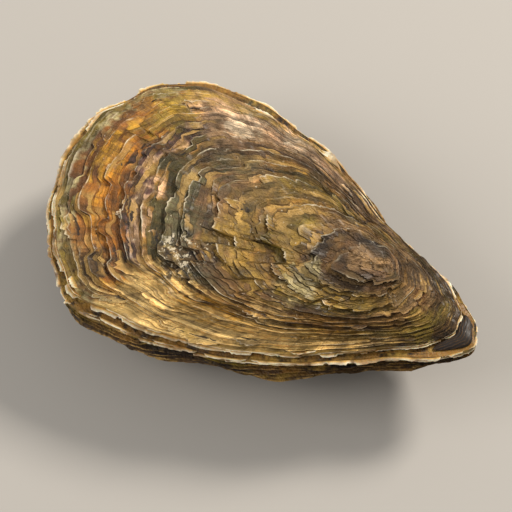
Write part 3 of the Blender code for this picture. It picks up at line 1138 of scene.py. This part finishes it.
# %% Leaf tones, wear and painted crevice shade
def leaf_edges(tree, at, size, key):
    """How much a point is on a pale free edge: near the leaf's end, at a real step, less when young."""
    older = add_node(tree, "MapRange", {0: at["growth"], 1: 0.08, 2: 0.32, 3: 0.30, 4: 0.90}, **SOFT)
    kept = patches(tree, at, size, key, 0.42, 0.62, 0.05, older)
    bold = add_node(tree, "MapRange", {0: at["leaf_step"], 1: 0.08, 2: 0.80, 4: kept}, **SOFT)
    return add_node(tree, "MapRange", {0: at["leaf_share"], 1: 0.74, 2: 0.99, 4: bold}, **SOFT)


def painted_crevice_shade(tree, at):
    """How much painted shade a point gets in the corner behind a free edge: at the leaf's root, below a
    real step.
    """
    steps = {0: at["leaf_step"], 1: 0.05, 2: 0.55, 3: 0.15, 4: 0.95}
    deep = add_node(tree, "MapRange", steps, **SOFT)
    return add_node(tree, "MapRange", {0: at["leaf_share"], 1: 0.32, 2: 0.02, 4: deep}, **SOFT)


def lined(tree, at, base):
    """Multiplies the base by each leaf's tone, the lines within it and a mottle across it."""
    whole = stripes(tree, at, "leaf_number", 3.7, 1.7, 0.30, 0.70, 0.52, 1.46)
    parts = stripes(tree, at, "leaf_number", 7.1, 6.5, 0.30, 0.70, 0.68, 1.32)
    fine = stripes(tree, at, "leaf", 2.6, 5.0, 0.25, 0.75, 0.74, 1.26)
    stain = patches(tree, at, 4.5, 44.0, 0.30, 0.70, 0.66, 1.34)
    mottle = patches(tree, at, 1.6, 9.0, 0.25, 0.75, 0.78, 1.22)
    shades = [(1.0, shade) for shade in (whole, parts, fine, stain, mottle)]
    return coats(tree, at, base, shades, blend="MULTIPLY")


print("wear and painted_shade ready")

# %% [markdown]
# ## The flat valve's finish
# All of it together, with a damp surface: the shell was kept on ice, so roughness runs from
# wet to dry in patches, under a thin coat of water. Bump carries the lines and grit that are
# finer than the mesh.

# %% Flat valve finish
def make_flat_finish():
    """Damp flaky calcite: bands, spots, some of them painted highlights and shade, leaf tones, algae,
    blushes, streaks, worn edges, painted crevice shade.
    """
    water = {"Coat Weight": 0.12, "Coat Roughness": 0.25}
    material, tree, shader = new_material("banded_flaky_shell", water)
    at = shell_places(tree)
    base = lined(tree, at, spotted(tree, at, banded(tree, at)))
    past_knob = {0: at["growth"], 1: 0.16, 2: 0.34, 3: 0.12, 4: 0.60}
    paling = add_node(tree, "MapRange", past_knob, **SOFT)
    pale_leaves = stripes(tree, at, "leaf_number", 9.7, 3.4, 0.55, 0.68, 0.0, paling)
    dark_leaves = stripes(tree, at, "leaf_number", 4.3, 2.0, 0.58, 0.68, 0.0, 0.50)
    older = {0: at["growth"], 1: 0.62, 2: 0.82, 3: 0.55, 4: 0.10}
    algae = add_node(tree, "MapRange", older, **SOFT)
    salted = close_to(tree, at, SPECKLED["place"], SPECKLED["radius"], 0.85)
    layers = [
        (dark_leaves, "dark_brown"),
        ((6.0, 14.0, 0.54, 0.64, 0.0, algae), "dark_olive"),
        ((4.6, 18.0, 0.59, 0.69, 0.0, 0.35), "rose_brown"),
        (rays(tree, at, 30.0, 0.0, 0.52, 0.66, 0.45), "brown"),
        (pale_leaves, "cream"),
        # Painted shade in the corners behind the leaves' free edges.
        (painted_crevice_shade(tree, at), "crevice_shade_and_near_black"),
        (leaf_edges(tree, at, 4.0, 22.0), "white_edge"),
        ((1.0, 26.0, 0.66, 0.73, 0.0, 0.75), "white_edge"),
        ((1.3, 30.0, 0.66, 0.73, 0.0, 0.75), "dark_brown"),
        ((1.6, 52.0, 0.52, 0.60, 0.0, salted), "crevice_shade_and_near_black"),
        ((1.2, 48.0, 0.55, 0.62, 0.0, salted), "white_edge"),
    ]
    damp = patches(tree, at, 2.4, 34.0, 0.34, 0.62, 0.40, 0.72)
    sockets = {"Base Color": coats(tree, at, base, layers), "Roughness": damp}
    link_surface(tree, shader, sockets, fine_relief(tree, at, (0.6, 38.0), (3.4, 10.0)), 0.30)
    return material


dress(make_flat_finish(), flat_valve, flakes)

# %% [markdown]
# # Dark frilled shell
# The deep valve grew in the shade and the mud. It is purple black in its grooves and rose brown
# on its folds, with chalky patches, and its frills are pale where they are new or broken. Its
# lip, a ledge round the flat valve, is paler and stained.

# %% Deep valve finish
DEEP_BANDS = (
    (0.00, "brown"), (0.15, "dark_brown"), (0.32, "rose_brown"), (0.50, "purple_black"),
    (0.66, "brown"), (0.80, "purple_black"), (0.92, "dark_brown"), (1.00, "olive"),
)


def make_deep_finish():
    """Dark shell: bands over the growth, folds tinted, chalk and algae, pale frills, a stained lip."""
    water = {"Coat Weight": 0.15, "Coat Roughness": 0.30}
    material, tree, shader = new_material("dark_frilled_shell", water)
    at = shell_places(tree, "fold", "lip")
    fold = at["fold"]
    lip = at["lip"]
    nudge = patches(tree, at, 9, 0.0, 0.25, 0.75, -0.08, 0.08)
    growth = add_node(tree, "Math", {0: at["growth"], 1: nudge}, operation="ADD")
    base = add_node(tree, "ValToRGB", {"Fac": growth}, stops=DEEP_BANDS)
    rubbed = patches(tree, at, 6, 4.0, 0.35, 0.60, 0.0, 0.7)
    crest = add_node(tree, "MapRange", {0: fold, 1: 0.0, 2: 0.9, 4: rubbed}, **SOFT)
    base = lined(tree, at, coats(tree, at, base, [(crest, "tan")]))
    worn = leaf_edges(tree, at, 2.4, 12.0)
    pale_frill = add_node(tree, "MapRange", {0: fold, 1: -1.6, 2: 0.6, 4: worn}, **SOFT)
    layers = [
        ((7.0, 8.0, 0.56, 0.66, 0.0, 0.70), "bone"),
        ((4.5, 16.0, 0.57, 0.67, 0.0, 0.60), "dark_olive"),
        (rays(tree, at, 24.0, 3.0, 0.52, 0.66, 0.5), "purple_black"),
        # Painted shade in the corners behind the leaves' free edges.
        (painted_crevice_shade(tree, at), "crevice_shade_and_near_black"),
        (pale_frill, "cream"),
        ((6.0, 24.0, 0.10, 0.45, 0.0, lip), "tan"),
        ((9.0, 20.0, 0.47, 0.60, 0.0, lip), "bone"),
        ((2.5, 28.0, 0.40, 0.64, 0.0, lip), "dark_brown"),
        ((7.0, 46.0, 0.52, 0.62, 0.0, lip), "dark_olive"),
        ((0.9, 32.0, 0.68, 0.74, 0.0, 0.6), "cream"),
    ]
    damp = patches(tree, at, 3.0, 36.0, 0.34, 0.62, 0.32, 0.75)
    sockets = {"Base Color": coats(tree, at, base, layers), "Roughness": damp}
    link_surface(tree, shader, sockets, fine_relief(tree, at, (0.7, 40.0), (2.8, 9.0)), 0.35)
    return material


dress(make_deep_finish(), deep_valve)

# %% [markdown]
# # Papery new shell
# The newest leaves are thin and let a little light in. They are cream, not white, because they
# are wet and stained, and they darken where they join the shell. A transparent shader would be
# slow and hardly show, so a little subsurface light stands for it.

# %% Rim leaf finish
RIM_BANDS = ((0.0, "tan"), (0.35, "cream"), (0.8, "white_edge"))


def make_rim_finish():
    """Thin new shell: tan at the root, then cream, to nearly white at the tip, with stains."""
    values = {"Roughness": 0.45, "Subsurface Weight": 0.15, "Subsurface Scale": 0.8 * MM}
    material, tree, shader = new_material("papery_new_shell", values)
    at = places(tree, "rim_share")
    base = add_node(tree, "ValToRGB", {"Fac": at["rim_share"]}, stops=RIM_BANDS)
    layers = [
        ((9.0, 2.0, 0.50, 0.62, 0.0, 0.75), "tan"),
        ((4.0, 6.0, 0.55, 0.64, 0.0, 0.75), "brown"),
        ((5.0, 10.0, 0.58, 0.68, 0.0, 0.45), "gold"),
    ]
    mottle = patches(tree, at, 1.2, 14.0, 0.30, 0.70, 0.70, 1.20)
    colour = coats(tree, at, coats(tree, at, base, layers), [(1.0, mottle)], blend="MULTIPLY")
    grains = patches(tree, at, 0.8, 18.0, 0.2, 0.8)
    link_surface(tree, shader, {"Base Color": colour}, grains, 0.15, strength=0.6)
    return material


dress(make_rim_finish(), *rim_leaves, shards)

# %% [markdown]
# # Horny ligament
# The ligament is conchiolin, the same tough horn as the skin of a mussel. It is nearly black
# when wet, with brown lines where it has dried and split. The lines follow the piece's own
# attribute, because rings round the hinge couldn't bend with the pad.

# %% Ligament finish
def make_ligament_finish():
    """Dark wet horn: brown black, with brown lines along it, split where it dried."""
    water = {"Coat Weight": 0.08, "Coat Roughness": 0.35}
    material, tree, shader = new_material("horny_ligament", water)
    at = places(tree, "ligament_share")
    wander = patches(tree, at, 2.5, 6.0, 0.2, 0.8, -3.0, 3.0)
    along = {0: at["ligament_share"], 1: 44.0, 2: wander}
    lines = add_node(tree, "Math", along, operation="MULTIPLY_ADD")
    wave = add_node(tree, "Math", {0: lines}, operation="SINE")
    dried = patches(tree, at, 1.5, 2.0, 0.38, 0.62, 0.10, 0.65)
    split = add_node(tree, "MapRange", {0: wave, 1: 0.0, 2: 1.0, 4: dried}, **SOFT)
    layers = [
        (split, "brown"),
        ((1.2, 4.0, 0.55, 0.70, 0.0, 0.60), "dark_brown"),
    ]
    damp = patches(tree, at, 1.5, 8.0, 0.3, 0.7, 0.45, 0.70)
    sockets = {"Base Color": coats(tree, at, tint("crevice_shade_and_near_black"), layers), "Roughness": damp}
    link_surface(tree, shader, sockets, split, 0.20, strength=0.7)
    return material


dress(make_ligament_finish(), ligament)

# %% [markdown]
# # The floor
# The oyster lies on a plain pale surface, large enough to fill every view. It isn't part of the
# object.

# %% Floor
FLOOR_SIDE = 3.0
FLOOR_COLOUR = "bdbab5"
half = FLOOR_SIDE / 2
corners = [(-half, -half, 0), (half, -half, 0), (half, half, 0), (-half, half, 0)]
floor_mesh = bpy.data.meshes.new("floor")
floor_mesh.from_pydata(corners, [], [(0, 1, 2, 3)])
floor = add_object("floor", floor_mesh)
floor_look = {"Base Color": linear(FLOOR_COLOUR), "Roughness": 0.8}
dress(new_material("pale_floor", floor_look)[0], floor)
print("floor", FLOOR_SIDE, "m wide")

# %% [markdown]
# # Light
# The photo is lit from above and behind, softly: the steps on the front are dark underneath
# and the back rim is bright. A large lamp does that, a weaker and larger one fills the front,
# and the world adds an even light. The standard view keeps the colours as they were written.

# %% Lights
LAMPS = {
    "key_light": {"place": (0.16, 0.74, 0.62), "energy": 9.0, "size": 0.24, "hue": "fff6ea"},
    "fill_light": {"place": (-0.58, -0.54, 0.55), "energy": 4.4, "size": 0.60, "hue": "fff8f0"},
}
SKY_COLOUR = "ece9e4"
SKY_STRENGTH = 0.42


def add_light(name, place, energy, size, hue):
    """A square soft light that faces the oyster."""
    lamp = bpy.data.lights.new(name, "AREA")
    lamp.energy = energy
    lamp.size = size
    lamp.color = linear(hue)[:3]
    add_object(name, lamp, place, look=-Vector(place))


for name, lamp_settings in LAMPS.items():
    add_light(name, **lamp_settings)
world = bpy.data.worlds.new("soft_studio")
world.use_nodes = True
sky = world.node_tree.nodes["Background"].inputs
sky["Color"].default_value = linear(SKY_COLOUR)
sky["Strength"].default_value = SKY_STRENGTH
bpy.context.scene.world = world
bpy.context.scene.view_settings.view_transform = "Standard"
print("two lamps and a world")

# %% [markdown]
# # Camera
# The photo looks down at the pile from the front, 60 degrees above the floor and turned 36
# degrees round the oyster. The distance keeps the perspective as flat as the photo's.

# %% Camera
AZIMUTH = 36
ELEVATION = 60
VIEW_WIDTH = 0.106
DISTANCE = 0.60
SENSOR = 36.0
turned = math.radians(AZIMUTH)
tilted = math.radians(ELEVATION)
level_back = Vector((math.sin(turned), -math.cos(turned), 0)) * math.cos(tilted)
back = level_back + Vector((0, 0, math.sin(tilted)))
aim = (Vector(solid_box[0]) + Vector(solid_box[1])) / 2
aim.z = FLOOR_LIFT
lens = bpy.data.cameras.new("camera")
lens.sensor_width = SENSOR
lens.lens = SENSOR * DISTANCE / VIEW_WIDTH
camera = add_object("camera", lens, aim + back * DISTANCE, look=-back)
bpy.context.scene.camera = camera
print("camera", [round(side, 3) for side in camera.location])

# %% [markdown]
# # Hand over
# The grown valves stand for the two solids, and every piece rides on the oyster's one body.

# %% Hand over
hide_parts("upper_valve")
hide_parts("lower_valve")
for piece in (flat_valve, flakes, shards, deep_valve, *rim_leaves, ligament):
    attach(piece, "root")
